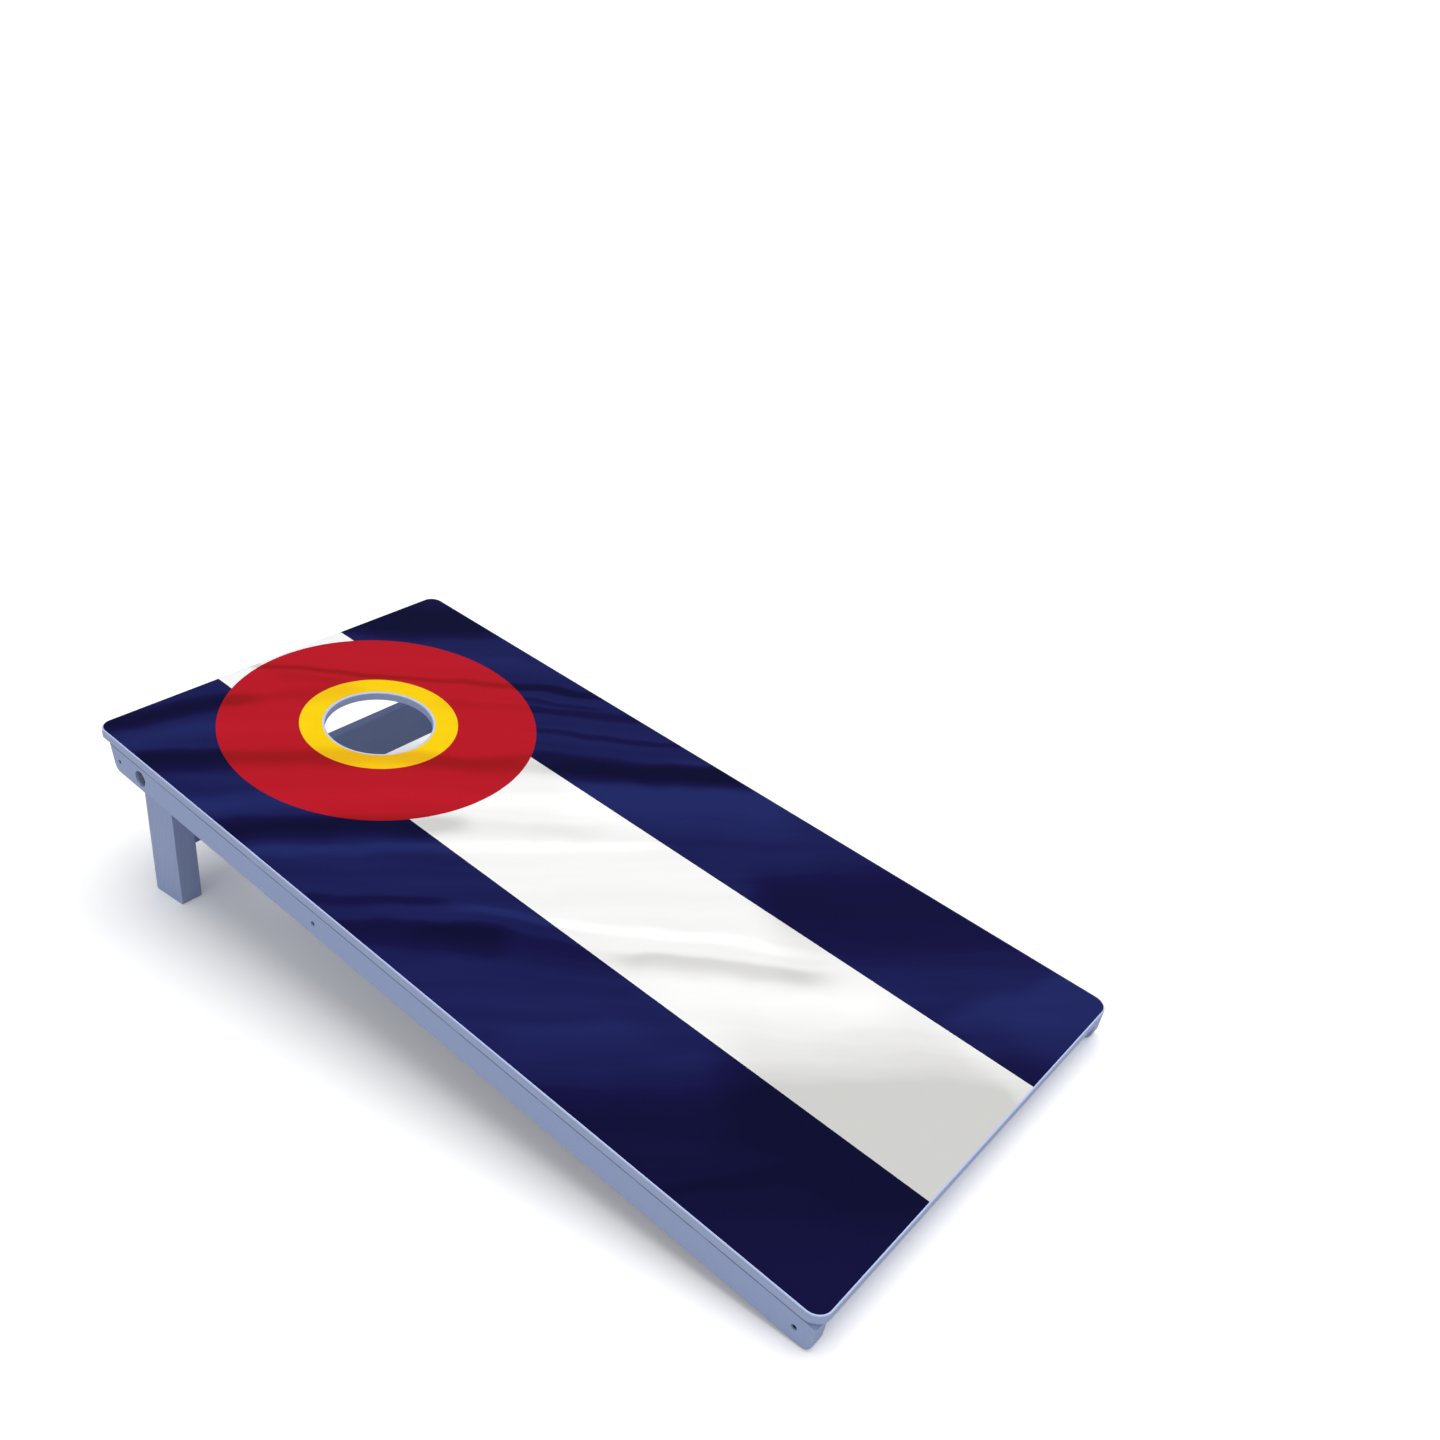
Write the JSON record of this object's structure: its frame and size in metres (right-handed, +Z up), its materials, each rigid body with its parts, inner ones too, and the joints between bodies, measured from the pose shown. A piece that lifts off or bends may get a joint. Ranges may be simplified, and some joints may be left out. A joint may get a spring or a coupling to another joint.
{
  "type": "cornhole board",
  "caption": "Tilted lawn-game target board with a round bag hole near the raised end, a printed deck on a low frame, and a pair of legs that fold under it.",
  "frame": {"origin": "centre of the bounding box in plan, on the ground that the feet and the rails' noses stand on", "axes": "+Y runs from the low front edge to the raised back edge, +Z is up, +X is to the right seen from the front"},
  "size_m": [0.6096, 1.2038, 0.251],
  "materials": {
    "frame_paint": "satin paint",
    "printed_vinyl": "satin laminate",
    "bare_wood": "raw",
    "dark_screw": "black oxide",
    "zinc_steel": "zinc plated",
    "nylon": "matte"
  },
  "bodies": {
    "board": {"deck_panel": "frame_paint", "side_rail_left": "frame_paint", "side_rail_right": "frame_paint", "front_apron": "frame_paint", "rear_apron": "frame_paint", "centre_brace": "frame_paint", "deck_graphic": "printed_vinyl", "front_apron_screws": "dark_screw", "brace_screws": "dark_screw", "rear_apron_screws": "dark_screw", "deck_screws": "dark_screw", "pivot_bolt_left": "zinc_steel", "lock_nut_left": "zinc_steel", "head_washer_left": "zinc_steel", "nut_washer_left": "zinc_steel", "leg_spacer_left": "nylon", "pivot_bolt_right": "zinc_steel", "lock_nut_right": "zinc_steel", "head_washer_right": "zinc_steel", "nut_washer_right": "zinc_steel", "leg_spacer_right": "nylon"},
    "legs": {"leg_left": "frame_paint", "leg_right": "frame_paint", "leg_spreader": "frame_paint", "spreader_dowels": "bare_wood"}
  },
  "joints": [
    {"name": "leg_fold", "type": "hinge", "parent": "board", "child": "legs", "pos_m": [0, 0.50269, 0.20243], "axis": [-1, 0, 0], "range_deg": [0, 66]}
  ]
}
